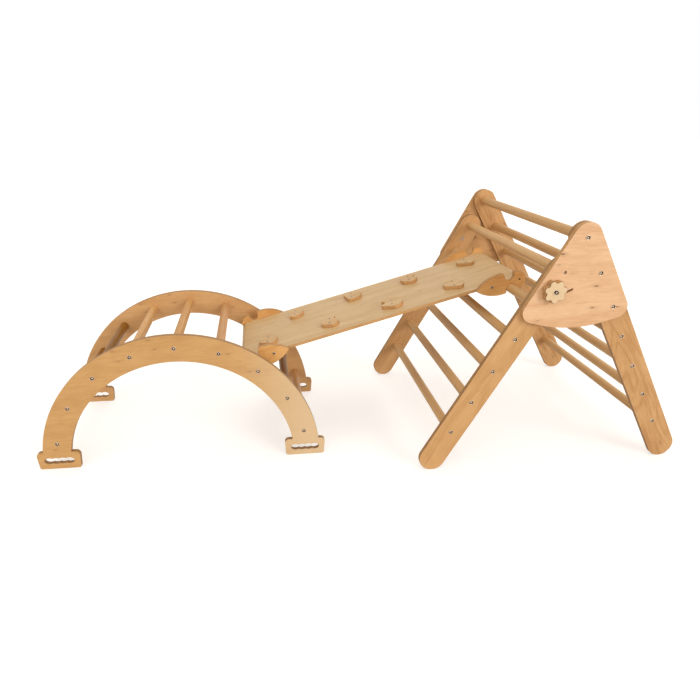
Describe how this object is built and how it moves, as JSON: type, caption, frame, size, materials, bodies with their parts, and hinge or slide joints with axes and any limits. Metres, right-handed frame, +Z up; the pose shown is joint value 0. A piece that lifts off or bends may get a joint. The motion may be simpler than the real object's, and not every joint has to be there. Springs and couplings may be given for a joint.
{
  "type": "pikler triangle set",
  "caption": "Wooden climbing set for small children: a low arch of rungs, a folding ladder triangle with clamping knobs, and a ramp with climbing holds hooked between them.",
  "frame": {"origin": "on the floor, midway along the set's length and midway across its width", "axes": "+X from the arch to the triangle, +Y from the front side to the rear side, +Z up"},
  "size_m": [2.1315, 0.8418, 0.803],
  "materials": {
    "panel_wood": "clear satin varnish on birch plywood",
    "board_wood": "clear satin varnish on thin plywood",
    "rung_wood": "clear satin varnish on beech rod",
    "hold_wood": "sanded and varnished plywood",
    "knob_wood": "pale sanded wood",
    "bolt_steel": "zinc-plated",
    "screw_steel": "dull plated"
  },
  "bodies": {
    "ramp": {"ramp_board": "board_wood", "hook_triangle_front": "panel_wood", "hook_triangle_rear": "panel_wood", "hook_arch_front": "panel_wood", "hook_arch_rear": "panel_wood", "hold_1": "hold_wood", "hold_2": "hold_wood", "hold_3": "hold_wood", "hold_4": "hold_wood", "hold_5": "hold_wood", "hold_6": "hold_wood", "hold_7": "hold_wood", "hold_8": "hold_wood", "hold_screws": "screw_steel", "hook_screws": "screw_steel", "hook_dowels": "rung_wood"},
    "arch": {"arch_panel_front": "panel_wood", "arch_panel_rear": "panel_wood", "arch_rung_1": "rung_wood", "arch_rung_2": "rung_wood", "arch_rung_3": "rung_wood", "arch_rung_4": "rung_wood", "arch_rung_5": "rung_wood", "arch_rung_6": "rung_wood", "arch_rung_7": "rung_wood", "arch_rung_8": "rung_wood", "arch_rung_9": "rung_wood", "arch_bolts": "bolt_steel"},
    "left_ladder": {"left_leg_front": "panel_wood", "left_leg_rear": "panel_wood", "left_rung_1": "rung_wood", "left_rung_2": "rung_wood", "left_rung_3": "rung_wood", "left_rung_4": "rung_wood", "left_rung_5": "rung_wood", "left_rung_6": "rung_wood", "left_bolts": "bolt_steel", "pivot_bolts": "bolt_steel", "tee_nuts": "bolt_steel"},
    "right_frame": {"right_leg_front": "panel_wood", "right_leg_rear": "panel_wood", "side_plate_front": "panel_wood", "side_plate_rear": "panel_wood", "right_rung_1": "rung_wood", "right_rung_2": "rung_wood", "right_rung_3": "rung_wood", "right_rung_4": "rung_wood", "right_rung_5": "rung_wood", "right_rung_6": "rung_wood", "right_rung_7": "rung_wood", "plate_bolts": "bolt_steel", "right_bolts": "bolt_steel"},
    "front_knob": {"knob_front": "knob_wood", "knob_washer_front": "bolt_steel", "knob_bolt_front": "bolt_steel"},
    "rear_knob": {"knob_rear": "knob_wood", "knob_washer_rear": "bolt_steel", "knob_bolt_rear": "bolt_steel"}
  },
  "joints": [
    {"name": "arch_off_ramp", "type": "slide", "parent": "ramp", "child": "arch", "axis": [0.2721, 0, -0.9623], "range_m": [0, 0.1]},
    {"name": "triangle_off_ramp", "type": "slide", "parent": "ramp", "child": "left_ladder", "axis": [0.2721, 0, -0.9623], "range_m": [0, 0.1]},
    {"name": "triangle_fold", "type": "hinge", "parent": "left_ladder", "child": "right_frame", "pos_m": [0.54953, 0, 0.66117], "axis": [0, 1, 0], "range_deg": [0, 56]},
    {"name": "front_knob_turn", "type": "hinge", "parent": "left_ladder", "child": "front_knob", "pos_m": [0.521, -0.395, 0.60839], "axis": [0, -1, 0], "continuous": true},
    {"name": "rear_knob_turn", "type": "hinge", "parent": "left_ladder", "child": "rear_knob", "pos_m": [0.521, 0.395, 0.60839], "axis": [0, 1, 0], "continuous": true}
  ]
}
